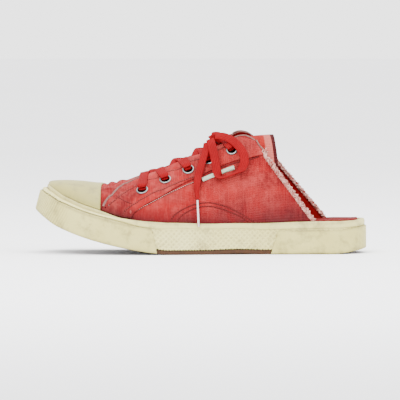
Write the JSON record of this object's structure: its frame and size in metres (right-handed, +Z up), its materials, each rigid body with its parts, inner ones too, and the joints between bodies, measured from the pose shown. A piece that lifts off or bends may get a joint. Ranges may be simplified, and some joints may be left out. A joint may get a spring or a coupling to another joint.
{
  "type": "sneaker mule",
  "caption": "Backless canvas sneaker for the left foot: cut, frayed heel, laced throat with tongue, rubber toe cap and a high foxing over a flat tread.",
  "frame": {"origin": "on the floor under the middle of the shoe", "axes": "+Z up, toe along -X, outer side of the foot -Y"},
  "size_m": [0.2896, 0.1074, 0.1084],
  "materials": {
    "cream_rubber": "satin",
    "brown_rubber": "matte",
    "foam": "matte",
    "red_canvas": "matte",
    "red_lining": "matte",
    "red_cotton": "matte",
    "silver_metal": "satin",
    "red_plastic": "gloss",
    "pale_tape": "matte",
    "pale_thread": "matte"
  },
  "bodies": {
    "root": {"outsole": "brown_rubber", "midsole": "foam", "insole": "red_lining", "foxing": "cream_rubber", "toe_bumper": "cream_rubber", "heel_patch": "cream_rubber", "toe_strip": "cream_rubber", "toe_cap": "cream_rubber", "upper": "red_canvas", "tongue": "red_canvas", "eyestay_lateral": "red_canvas", "eyestay_medial": "red_canvas", "eyelet_outer_1": "silver_metal", "eyelet_outer_2": "silver_metal", "eyelet_outer_3": "silver_metal", "eyelet_outer_4": "silver_metal", "eyelet_outer_5": "silver_metal", "eyelet_inner_1": "silver_metal", "eyelet_inner_2": "silver_metal", "eyelet_inner_3": "silver_metal", "eyelet_inner_4": "silver_metal", "eyelet_inner_5": "silver_metal", "lace_bar_1": "red_cotton", "lace_cross_2": "red_cotton", "lace_cross_3": "red_cotton", "lace_cross_4": "red_cotton", "lace_cross_5": "red_cotton", "lace_knot": "red_cotton", "lace_loop": "red_cotton", "lace_end": "red_cotton", "aglet": "red_plastic", "side_tape": "pale_tape", "fray_lateral": "pale_thread", "fray_medial": "pale_thread"}
  },
  "joints": []
}
